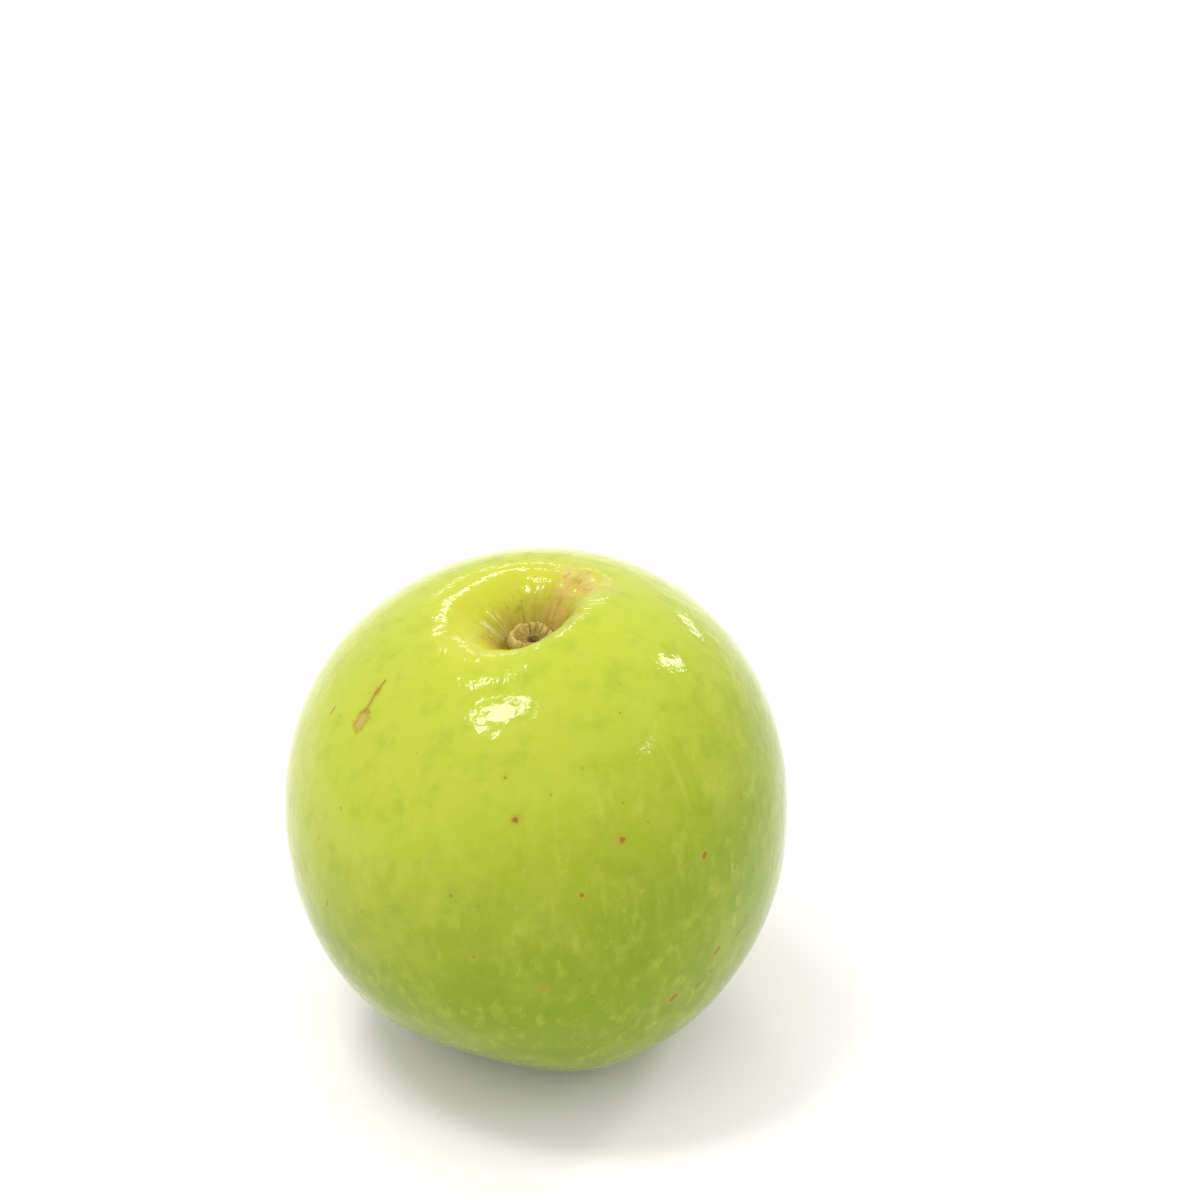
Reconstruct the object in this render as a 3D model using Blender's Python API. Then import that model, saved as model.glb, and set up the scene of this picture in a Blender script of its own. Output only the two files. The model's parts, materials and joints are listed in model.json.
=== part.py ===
"""One picked taiwan jujube, standing on its blossom end with the stem end up.

The fruit is one solid grown in one piece. The dry cup that is left where the stalk came away
is a second one, seated on the floor of the stem cavity. Metres, +Z up, -Y towards the viewer.
The origin is on the table, under the middle of the fruit.
"""

import math
import random
from dataclasses import dataclass

import bmesh
import bpy
from mathutils import Matrix, Vector

MM = 0.001

# The whole fruit, in its own frame with the stem axis along Z and the widest ring at height 0
HALF_WIDTH = 28.75 * MM
SHOULDER_RISE = 28.4 * MM
BASE_DROP = 30.0 * MM
SHOULDER_SQUARENESS = 2.19
BASE_SQUARENESS = 2.1

# How it stands: leaning a little, and pressed this far into the table
LEAN_TO_VIEWER = math.radians(2.0)
LEAN_TO_LEFT = math.radians(0.8)
SETTLE = 0.55 * MM

# The stem cavity: a well with a flat seat for the cup, steep in front and gentle at the back left
CAVITY_DEPTH = 5.75 * MM
CAVITY_SEAT_RADIUS = 2.8 * MM
CAVITY_REACH = 2.6 * MM
CAVITY_REACH_CHANGE = 0.66
CAVITY_GENTLE_SIDE = math.radians(235.0)
CAVITY_STEEPNESS = 1.3

# The furrow that runs from the cup up the back right wall
FURROW_SIDE = math.radians(128.0)
FURROW_DEPTH = 0.9 * MM
FURROW_HALF_ANGLE = math.radians(17.0)
FURROW_MIDDLE = 7.0 * MM
FURROW_REACH = 3.2 * MM

# Wrinkles that run down the cavity wall to the cup
WRINKLE_COUNT = 12
WRINKLE_HEIGHT = 0.13 * MM
WRINKLE_START = 3.4 * MM
WRINKLE_PEAK = 4.6 * MM
WRINKLE_END = 9.5 * MM

# The blossom end: a shallow dimple with the scar of the style in it
DIMPLE_DEPTH = 1.6 * MM
DIMPLE_RADIUS = 3.0 * MM
STYLE_SCAR_HEIGHT = 0.25 * MM
STYLE_SCAR_RADIUS = 0.7 * MM

# The mesh: rings run closer together towards both ends of the fruit
SEGMENTS = 80
RINGS = 60
RING_CROWDING = 0.62

# The cup
CUP_GAP = 0.3 * MM
CUP_RADIUS = 2.4 * MM
CUP_RIM_WIDTH = 0.5 * MM
CUP_HEIGHT = 1.45 * MM
CUP_FLOOR = 0.55 * MM
CUP_FLARE = 0.12 * MM
STALK_SCAR_RADIUS = 0.75 * MM
STALK_SCAR_DEPTH = 0.3 * MM
STALK_STUB_RADIUS = 0.38 * MM
STALK_STUB_HEIGHT = 0.5 * MM
CUP_STEPS = 48
CUP_RAGGEDNESS = 0.16 * MM


@dataclass(frozen=True)
class Swelling:
    """A broad rise, or a hollow where the rise is negative, on the round of the fruit."""

    side: float
    from_stem: float
    rise: float
    spread: float

    def direction(self):
        """The unit vector from the middle of the fruit to the top of the swelling."""
        side, from_stem = math.radians(self.side), math.radians(self.from_stem)
        return Vector(
            (
                math.sin(from_stem) * math.sin(side),
                -math.sin(from_stem) * math.cos(side),
                math.cos(from_stem),
            )
        )

    def at(self, direction):
        """How far the surface moves out in the given direction."""
        away = self.direction().angle(direction, 0.0) / math.radians(self.spread)
        return self.rise * math.exp(-away * away)


# Sides are in degrees round the stem axis: 0 faces the viewer, 90 is the right side
SWELLINGS = (
    Swelling(side=70, from_stem=32, rise=1.5 * MM, spread=26),
    Swelling(side=150, from_stem=40, rise=0.5 * MM, spread=28),
    Swelling(side=300, from_stem=38, rise=-0.4 * MM, spread=28),
    Swelling(side=24, from_stem=136, rise=0.8 * MM, spread=24),
    Swelling(side=110, from_stem=140, rise=1.0 * MM, spread=28),
    Swelling(side=340, from_stem=138, rise=-1.0 * MM, spread=16),
)


def smooth_step(value, low, high):
    """0 below low, 1 above high, and a smooth rise between them."""
    share = min(1.0, max(0.0, (value - low) / (high - low)))
    return share * share * (3 - 2 * share)


def super_ellipse(angle, radius, height, squareness):
    """A point on a rounded quarter outline: its distance from the axis, and its height."""
    power = 2 / squareness
    return radius * math.sin(angle) ** power, height * math.cos(angle) ** power


def cavity_drop(radius, side):
    """How far the stem cavity lowers the surface at a distance from the stem axis."""
    widening = math.cos(side - CAVITY_GENTLE_SIDE)
    reach = CAVITY_REACH * (1 + CAVITY_REACH_CHANGE * widening)
    outside_seat = max(0.0, radius - CAVITY_SEAT_RADIUS) / reach
    return CAVITY_DEPTH * math.exp(-(outside_seat**CAVITY_STEEPNESS))


def furrow_drop(radius, side):
    """How far the furrow in the back right wall lowers the surface."""
    turn = math.remainder(side - FURROW_SIDE, math.tau) / FURROW_HALF_ANGLE
    along = (radius - FURROW_MIDDLE) / FURROW_REACH
    return FURROW_DEPTH * math.exp(-turn * turn - along * along)


def wrinkle_waves():
    """The seeded waves, as count, start angle and share, that the wrinkles are summed from."""
    draw = random.Random(7)
    counts = (WRINKLE_COUNT, WRINKLE_COUNT + 5, WRINKLE_COUNT - 6)
    return [(count, draw.uniform(0, math.tau), 1 / len(counts)) for count in counts]


def wrinkle_rise(radius, side, waves):
    """The height of the wrinkles on the cavity wall, fading in above the seat and out at the rim."""
    fade = smooth_step(radius, WRINKLE_START, WRINKLE_PEAK)
    fade *= 1 - smooth_step(radius, WRINKLE_PEAK, WRINKLE_END)
    wave = sum(share * math.sin(count * side + start) for count, start, share in waves)
    return WRINKLE_HEIGHT * fade * wave


def blossom_rise(radius):
    """The dimple at the blossom end, with the raised scar of the style in its middle."""
    dimple = DIMPLE_DEPTH * math.exp(-((radius / DIMPLE_RADIUS) ** 2))
    scar = STYLE_SCAR_HEIGHT * math.exp(-((radius / STYLE_SCAR_RADIUS) ** 4))
    return dimple - scar


def skin_point(from_stem, side, waves):
    """The point of the skin at an angle from the stem end and a side, in the fruit's own frame."""
    stem_half = from_stem < math.pi / 2
    if stem_half:
        radius, height = super_ellipse(
            from_stem, HALF_WIDTH, SHOULDER_RISE, SHOULDER_SQUARENESS
        )
    else:
        radius, height = super_ellipse(
            math.pi - from_stem, HALF_WIDTH, -BASE_DROP, BASE_SQUARENESS
        )
    point = Vector((radius * math.sin(side), -radius * math.cos(side), height))
    direction = point.normalized()
    point += direction * sum(swelling.at(direction) for swelling in SWELLINGS)
    radius = math.hypot(point.x, point.y)
    if stem_half:
        point.z -= cavity_drop(radius, side) + furrow_drop(radius, side)
        point.z += wrinkle_rise(radius, side, waves)
    else:
        point.z += blossom_rise(radius)
    return point


def seat_height():
    """The highest point of the cavity floor under the cup, in the fruit's own frame."""
    waves = wrinkle_waves()
    points = [
        skin_point(math.radians(ring / 2), math.tau * segment / SEGMENTS, waves)
        for ring in range(30)
        for segment in range(SEGMENTS)
    ]
    return max(point.z for point in points if math.hypot(point.x, point.y) <= CUP_RADIUS)


def crowded(share):
    """Spaces the rings closer together towards both ends."""
    return share - RING_CROWDING * math.sin(math.tau * share) / math.tau


def standing():
    """Carries the fruit's own frame to the table: it leans, and its lowest point sinks by SETTLE."""
    lean = Matrix.Rotation(LEAN_TO_VIEWER, 4, "X") @ Matrix.Rotation(-LEAN_TO_LEFT, 4, "Y")
    waves = wrinkle_waves()
    lowest = min(
        (lean @ skin_point(math.pi * ring / 180, math.tau * segment / SEGMENTS, waves)).z
        for ring in range(120, 181)
        for segment in range(SEGMENTS)
    )
    return Matrix.Translation((0, 0, -lowest - SETTLE)) @ lean


def make_material(name, colour, roughness):
    """A plain, non-metallic finish."""
    material = bpy.data.materials.new(name)
    material.use_nodes = True
    shader = material.node_tree.nodes["Principled BSDF"]
    shader.inputs["Base Color"].default_value = (*colour, 1)
    shader.inputs["Roughness"].default_value = roughness
    shader.inputs["Metallic"].default_value = 0
    return material


def add_object(name, shape, material, collection):
    """Turns a bmesh into a smooth-shaded object."""
    mesh = bpy.data.meshes.new(name)
    shape.to_mesh(mesh)
    shape.free()
    mesh.materials.append(material)
    mesh.shade_smooth()
    made = bpy.data.objects.new(name, mesh)
    collection.objects.link(made)
    return made


def build_fruit(collection, stand):
    """The flesh and skin in one piece, from a ball whose points are moved onto the fruit's form."""
    waves = wrinkle_waves()
    ball = bmesh.new()
    bmesh.ops.create_uvsphere(ball, u_segments=SEGMENTS, v_segments=RINGS, radius=1)
    for vert in ball.verts:
        share = math.acos(max(-1.0, min(1.0, vert.co.z))) / math.pi
        side = math.atan2(vert.co.x, -vert.co.y)
        vert.co = stand @ skin_point(math.pi * crowded(share), side, waves)
        vert.co.z = max(0.0, vert.co.z)
    skin = make_material("jujube_skin", (0.42, 0.52, 0.03), 0.28)
    return add_object("fruit", ball, skin, collection)


def cup_outline():
    """The cup's half outline, from the middle of its underside round to the tip of the stub."""
    inner = CUP_RADIUS - CUP_RIM_WIDTH
    return (
        (0.0, 0.0),
        (CUP_RADIUS * 0.93, 0.0),
        (CUP_RADIUS, CUP_HEIGHT * 0.45),
        (CUP_RADIUS - CUP_FLARE, CUP_HEIGHT * 0.93),
        (CUP_RADIUS - CUP_RIM_WIDTH * 0.6, CUP_HEIGHT),
        (inner, CUP_HEIGHT * 0.9),
        (inner * 0.86, CUP_FLOOR * 1.35),
        (inner * 0.6, CUP_FLOOR),
        (STALK_SCAR_RADIUS, CUP_FLOOR * 0.95),
        (STALK_SCAR_RADIUS * 0.85, CUP_FLOOR - STALK_SCAR_DEPTH),
        (STALK_STUB_RADIUS, CUP_FLOOR - STALK_SCAR_DEPTH),
        (STALK_STUB_RADIUS * 0.8, STALK_STUB_HEIGHT),
        (0.0, STALK_STUB_HEIGHT * 0.92),
    )


def ragged(side):
    """How the dry rim rises and falls round the cup."""
    return CUP_RAGGEDNESS * (0.6 * math.sin(5 * side + 1.0) + 0.4 * math.sin(11 * side))


def build_cup(collection, stand):
    """The dry cup in the stem cavity, turned about the stem axis and then given a ragged rim."""
    turned = bmesh.new()
    verts = [turned.verts.new((radius, 0, height)) for radius, height in cup_outline()]
    edges = [turned.edges.new(pair) for pair in zip(verts, verts[1:])]
    bmesh.ops.spin(
        turned,
        geom=verts + edges,
        cent=(0, 0, 0),
        axis=(0, 0, 1),
        angle=math.tau,
        steps=CUP_STEPS,
        use_merge=True,
    )
    bmesh.ops.remove_doubles(turned, verts=turned.verts, dist=0.001 * MM)
    for vert in turned.verts:
        side = math.atan2(vert.co.x, -vert.co.y)
        vert.co.z += ragged(side) * smooth_step(vert.co.z, CUP_FLOOR * 1.4, CUP_HEIGHT)
    bmesh.ops.recalc_face_normals(turned, faces=turned.faces)
    dry = make_material("dry_cup", (0.36, 0.25, 0.09), 0.8)
    cup = add_object("stalk_cup", turned, dry, collection)
    cup.matrix_world = stand @ Matrix.Translation((0, 0, seat_height() + CUP_GAP))
    return cup


def main():
    """Builds the fruit and its cup, and centres them over the origin."""
    for old in list(bpy.data.objects):
        bpy.data.objects.remove(old)
    collection = bpy.data.collections.new("taiwan_jujube")
    bpy.context.scene.collection.children.link(collection)
    stand = standing()
    fruit = build_fruit(collection, stand)
    cup = build_cup(collection, stand)
    across = [vert.co.x for vert in fruit.data.vertices]
    along = [vert.co.y for vert in fruit.data.vertices]
    middle = Vector(((min(across) + max(across)) / 2, (min(along) + max(along)) / 2, 0))
    to_origin = Matrix.Translation(-middle)
    fruit.data.transform(to_origin)
    cup.matrix_world = to_origin @ cup.matrix_world


main()
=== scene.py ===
"""The looks of one picked taiwan jujube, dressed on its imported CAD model.

Metres, +Z up, -Y towards the viewer. Lengths inside the materials are in millimetres.
"""

import json
import logging
import math
from dataclasses import dataclass
from enum import Enum
from typing import Union

import bpy
from mathutils import Matrix, Vector, noise

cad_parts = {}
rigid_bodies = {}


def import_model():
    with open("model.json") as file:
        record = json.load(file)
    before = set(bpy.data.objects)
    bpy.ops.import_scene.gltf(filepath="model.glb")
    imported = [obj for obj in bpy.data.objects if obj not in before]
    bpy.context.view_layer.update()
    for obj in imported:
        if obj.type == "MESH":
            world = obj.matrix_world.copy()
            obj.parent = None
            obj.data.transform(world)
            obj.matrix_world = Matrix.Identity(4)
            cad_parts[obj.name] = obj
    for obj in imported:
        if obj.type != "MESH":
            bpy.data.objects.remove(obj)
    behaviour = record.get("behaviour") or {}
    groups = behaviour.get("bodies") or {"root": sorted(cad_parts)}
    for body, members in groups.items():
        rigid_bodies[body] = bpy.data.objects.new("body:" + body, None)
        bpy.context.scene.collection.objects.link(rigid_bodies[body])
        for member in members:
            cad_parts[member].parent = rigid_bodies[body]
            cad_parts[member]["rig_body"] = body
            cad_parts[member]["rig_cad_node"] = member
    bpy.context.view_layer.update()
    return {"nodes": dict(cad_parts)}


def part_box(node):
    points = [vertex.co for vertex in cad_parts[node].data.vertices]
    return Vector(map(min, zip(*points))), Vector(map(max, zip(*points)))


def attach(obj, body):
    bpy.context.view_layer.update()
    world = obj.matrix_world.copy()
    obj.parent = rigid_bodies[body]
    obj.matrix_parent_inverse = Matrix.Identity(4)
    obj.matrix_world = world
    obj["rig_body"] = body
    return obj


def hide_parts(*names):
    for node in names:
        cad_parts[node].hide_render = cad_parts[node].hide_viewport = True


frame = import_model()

MM = 0.001
BODY = "root"
LOG = logging.getLogger("taiwan_jujube")

# A surface under the studio's light looks this much brighter than its own colour.
LIGHT_LEVEL = 1.5
NOISE_MIDDLE = 0.5
GRAIN_DETAIL = 2.0
GRAIN_ROUGH = 0.5

Colour = tuple[float, float, float]
Socket = bpy.types.NodeSocket
Value = Union[float, int, Socket]


def seen(red: int, green: int, blue: int) -> Colour:
    """Turns a colour as it looks under the studio light into the surface's own colour.

    Args:
        red: The red value on screen, 0 to 255.
        green: The green value.
        blue: The blue value.

    Returns:
        The surface's colour in Blender's linear values.
    """
    shares = (red / 255, green / 255, blue / 255)
    linear = (s / 12.92 if s <= 0.04045 else ((s + 0.055) / 1.055) ** 2.4 for s in shares)
    return tuple(share / LIGHT_LEVEL for share in linear)


def level_way(side: float) -> Vector:
    """Gives the level unit vector to a side: 0 is the front, 90 the right, 180 the back.

    Args:
        side: The side, in degrees.

    Returns:
        The vector.
    """
    angle = math.radians(side)
    return Vector((math.sin(angle), -math.cos(angle), 0))


@dataclass(frozen=True)
class Ramp:
    """A smooth change from 0 at the start to the top at the end, which may be below the start."""

    start: float
    end: float
    top: float = 1.0

    def at(self, value: float) -> float:
        """Gives the result at a value."""
        share = min(1.0, max(0.0, (value - self.start) / (self.end - self.start)))
        return self.top * share * share * (3 - 2 * share)


@dataclass(frozen=True)
class Cloud:
    """A noise: its cells to a millimetre, its finer layers and how strong they are."""

    scale: Value
    detail: float
    rough: float


@dataclass(frozen=True)
class Speckle(Cloud):
    """Soft patches where a noise is high."""

    ramp: Ramp


@dataclass(frozen=True)
class Streaks:
    """Streaks away from an axis: how many to a radian, and how fast each changes on its way."""

    count: float
    stretch: float
    ramp: Ramp


SPECK_WANDER = 1.2
SPECK_MASK = Ramp(1.15, 0.45)
SPECK_HALO = Ramp(2.4, 0.9)
RAY_NOISE = Cloud(1.0, 3.0, 0.6)


class Net:
    """A shader node tree that is wired up in code."""

    def __init__(self, tree: bpy.types.NodeTree) -> None:
        """Starts on a node tree.

        Args:
            tree: The tree of a material or of a node group.
        """
        self.tree = tree

    def add(self, kind: str, **settings: object) -> bpy.types.Node:
        """Adds a node.

        Args:
            kind: The node's type name, without "ShaderNode".
            settings: Attributes to set on it.

        Returns:
            The new node.
        """
        made = self.tree.nodes.new("ShaderNode" + kind)
        for name, value in settings.items():
            setattr(made, name, value)
        return made

    def feed(self, target: Socket, value: object) -> None:
        """Links a socket to the target, or sets the target's own value.

        Args:
            target: The input socket.
            value: A socket, a number, a vector or a colour.
        """
        if isinstance(value, Socket):
            self.tree.links.new(value, target)
        elif target.type == "RGBA" and len(value) == 3:
            target.default_value = (*value, 1)
        else:
            target.default_value = value

    def math(self, operation: str, *values: Value, clamp: bool = False) -> Socket:
        """Adds a Math node.

        Args:
            operation: The node's operation.
            values: Its inputs, in order.
            clamp: Whether the result is kept from 0 to 1.

        Returns:
            The result's socket.
        """
        made = self.add("Math", operation=operation, use_clamp=clamp)
        for target, value in zip(made.inputs, values):
            self.feed(target, value)
        return made.outputs[0]

    def vector(self, operation: str, *values: object, scale: Value = 1.0) -> bpy.types.Node:
        """Adds a Vector Math node.

        Args:
            operation: The node's operation.
            values: Its vector inputs, in order.
            scale: The factor of a SCALE operation.

        Returns:
            The node, whose Vector or Value output holds the result.
        """
        made = self.add("VectorMath", operation=operation)
        for target, value in zip(made.inputs, values):
            self.feed(target, value)
        if operation == "SCALE":
            self.feed(made.inputs["Scale"], scale)
        return made

    def times(self, *values: Value) -> Socket:
        """Multiplies values.

        Args:
            values: Two or more numbers or sockets.

        Returns:
            The product's socket.
        """
        made = values[0]
        for value in values[1:]:
            made = self.math("MULTIPLY", made, value)
        return made

    def ramp(self, value: Value, ramp: Ramp) -> Socket:
        """Adds a smooth Map Range node.

        Args:
            value: The value to map.
            ramp: How it is mapped.

        Returns:
            The result's socket.
        """
        made = self.add("MapRange", interpolation_type="SMOOTHSTEP")
        for target, number in zip(made.inputs, (value, ramp.start, ramp.end, 0.0, ramp.top)):
            self.feed(target, number)
        return made.outputs["Result"]

    def mix(self, share: Value, first: object, second: object) -> Socket:
        """Mixes two colours.

        Args:
            share: How much of the second colour there is.
            first: The first colour or socket.
            second: The second colour or socket.

        Returns:
            The mixed colour's socket.
        """
        made = self.add("Mix", data_type="RGBA")
        self.feed(made.inputs["Factor"], share)
        self.feed(made.inputs[6], first)
        self.feed(made.inputs[7], second)
        return made.outputs[2]

    def place(self, middle: Vector) -> Socket:
        """Measures where a point of the surface is.

        Args:
            middle: The place that it is measured from, in metres.

        Returns:
            The vector, in millimetres.
        """
        made = self.add("Mapping")
        self.feed(made.inputs["Vector"], self.add("TexCoord").outputs["Object"])
        self.feed(made.inputs["Location"], tuple(-middle / MM))
        self.feed(made.inputs["Scale"], (1 / MM, 1 / MM, 1 / MM))
        return made.outputs[0]

    def polar(self, place: Socket) -> tuple[Socket, Socket]:
        """Measures a vector from the upright axis.

        Args:
            place: The vector.

        Returns:
            The unit direction away from the axis, and the distance.
        """
        level = self.vector("MULTIPLY", place, (1, 1, 0)).outputs[0]
        length = self.vector("LENGTH", level).outputs["Value"]
        return self.vector("NORMALIZE", level).outputs[0], length

    def noise(self, place: Socket, cloud: Cloud) -> Socket:
        """Adds a Noise Texture node.

        Args:
            place: The vector that it reads.
            cloud: The noise.

        Returns:
            The noise value's socket, which is 0.5 on average.
        """
        made = self.add("TexNoise")
        self.feed(made.inputs["Vector"], place)
        self.feed(made.inputs["Scale"], cloud.scale)
        self.feed(made.inputs["Detail"], cloud.detail)
        self.feed(made.inputs["Roughness"], cloud.rough)
        return made.outputs[0]

    def wander(self, value: Socket, size: float) -> Socket:
        """Turns a noise value into one that is 0 on average and size apart at its ends."""
        return self.math("MULTIPLY_ADD", value, size, -NOISE_MIDDLE * size)

    def cells(self, place: Socket, scale: float) -> Socket:
        """Adds a Voronoi Texture node.

        Args:
            place: The vector that it reads.
            scale: The cells to a millimetre.

        Returns:
            The distance from the nearest cell's point.
        """
        made = self.add("TexVoronoi")
        self.feed(made.inputs["Vector"], place)
        self.feed(made.inputs["Scale"], scale)
        return made.outputs["Distance"]

    def patches(self, place: Socket, speckle: Speckle) -> Socket:
        """Adds a noise and keeps its high parts.

        Args:
            place: The vector that the noise reads.
            speckle: The patches' size and strength.

        Returns:
            The patches' mask.
        """
        return self.ramp(self.noise(place, speckle), speckle.ramp)

    def rays(self, ray: Socket, run: Socket, count: float, stretch: float) -> Socket:
        """Adds a noise that is drawn out into streaks away from an axis.

        Args:
            ray: The unit direction away from the axis.
            run: The coordinate along the streaks, in millimetres.
            count: How many streaks there are to a radian.
            stretch: How fast the noise changes along a streak.

        Returns:
            The noise value's socket.
        """
        parts = self.add("SeparateXYZ")
        self.feed(parts.inputs[0], self.vector("SCALE", ray, scale=count).outputs[0])
        joined = self.add("CombineXYZ")
        self.feed(joined.inputs[0], parts.outputs[0])
        self.feed(joined.inputs[1], parts.outputs[1])
        self.feed(joined.inputs[2], self.times(run, stretch))
        return self.noise(joined.outputs[0], RAY_NOISE)

    def streaks(self, ray: Socket, run: Socket, streaks: Streaks) -> Socket:
        """Adds a noise drawn out into streaks, and keeps its high parts.

        Args:
            ray: The unit direction away from the axis.
            run: The coordinate along the streaks, in millimetres.
            streaks: The streaks' size and strength.

        Returns:
            The streaks' mask.
        """
        return self.ramp(self.rays(ray, run, streaks.count, streaks.stretch), streaks.ramp)

    def facing(self, ray: Socket, side: float) -> Socket:
        """Measures how far a direction points to a side.

        Args:
            ray: The unit direction.
            side: The side, in degrees.

        Returns:
            The cosine of the angle between them.
        """
        return self.vector("DOT_PRODUCT", ray, tuple(level_way(side))).outputs["Value"]

    def group(self, tree: bpy.types.NodeTree, **inputs: object) -> bpy.types.Node:
        """Places a node group.

        Args:
            tree: The group's tree.
            inputs: The values of its inputs, by name, with _ for a space.

        Returns:
            The group node.
        """
        made = self.add("Group", node_tree=tree)
        for name, value in inputs.items():
            self.feed(made.inputs[name.replace("_", " ")], value)
        return made


def new_group(name: str, inputs: dict[str, str], outputs: dict[str, str]) -> tuple:
    """Starts a shader node group with named sockets.

    Args:
        name: The group's name.
        inputs: Input names, each with its socket type after "NodeSocket".
        outputs: Output names, each with its socket type after "NodeSocket".

    Returns:
        The tree, its Net, its input node and its output node.
    """
    tree = bpy.data.node_groups.new(name, "ShaderNodeTree")
    for direction, sockets in (("INPUT", inputs), ("OUTPUT", outputs)):
        for label, kind in sockets.items():
            tree.interface.new_socket(label, in_out=direction, socket_type="NodeSocket" + kind)
    return tree, Net(tree), tree.nodes.new("NodeGroupInput"), tree.nodes.new("NodeGroupOutput")


def speck_group() -> bpy.types.NodeTree:
    """Builds the group that masks one small mark with an uneven edge and a soft halo.

    Returns:
        The group's tree. Each mask is 1 on the mark and 0 away from it.
    """
    tree, net, given, result = new_group(
        "speck",
        {"Place": "Vector", "From": "Vector", "To": "Vector", "Radius": "Float", "Uneven": "Float"},
        {"Mask": "Float", "Halo": "Float"},
    )
    along = net.vector("SUBTRACT", given.outputs["To"], given.outputs["From"]).outputs[0]
    away = net.vector("SUBTRACT", given.outputs["Place"], given.outputs["From"]).outputs[0]
    run = net.math(
        "DIVIDE",
        net.vector("DOT_PRODUCT", away, along).outputs["Value"],
        net.vector("DOT_PRODUCT", along, along).outputs["Value"],
        clamp=True,
    )
    foot = net.vector("SCALE", along, scale=run).outputs[0]
    distance = net.vector("DISTANCE", away, foot).outputs["Value"]
    wobble = net.wander(given.outputs["Uneven"], SPECK_WANDER)
    edge = net.math("ADD", net.math("DIVIDE", distance, given.outputs["Radius"]), wobble)
    net.feed(result.inputs["Mask"], net.ramp(edge, SPECK_MASK))
    net.feed(result.inputs["Halo"], net.ramp(edge, SPECK_HALO))
    return tree


def grain_group() -> bpy.types.NodeTree:
    """Builds the group that gives a grown surface its fine unevenness.

    Returns:
        The group's tree. Its height is about 0.5 on average.
    """
    tree, net, given, result = new_group(
        "grown_grain",
        {"Place": "Vector", "Fine": "Float", "Broad": "Float", "Fine Share": "Float"},
        {"Height": "Float"},
    )
    fine, broad = (
        net.noise(given.outputs["Place"], Cloud(given.outputs[label], GRAIN_DETAIL, GRAIN_ROUGH))
        for label in ("Fine", "Broad")
    )
    height = net.add("Mix", data_type="FLOAT")
    net.feed(height.inputs[0], given.outputs["Fine Share"])
    net.feed(height.inputs[2], broad)
    net.feed(height.inputs[3], fine)
    net.feed(result.inputs["Height"], height.outputs[0])
    return tree


class MarkTone(Enum):
    """The tones of the small marks on the skin, in the order that they are laid on."""

    AMBER = seen(204, 186, 50)
    BROWN = seen(152, 124, 18)
    RUST = seen(180, 138, 24)
    GREEN = seen(112, 128, 20)
    PINK = seen(194, 166, 60)
    SCAB = seen(218, 196, 92)


@dataclass(frozen=True)
class Mark:
    """A small mark on the skin, at a pixel of the 1200 x 1200 photograph.

    It is round where it has no end, and otherwise a stroke. The radius is in millimetres.
    """

    start: tuple[float, float]
    radius: float
    strength: float
    tone: MarkTone = MarkTone.BROWN
    halo: float = 0.0
    end: Union[tuple[float, float], None] = None


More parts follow.
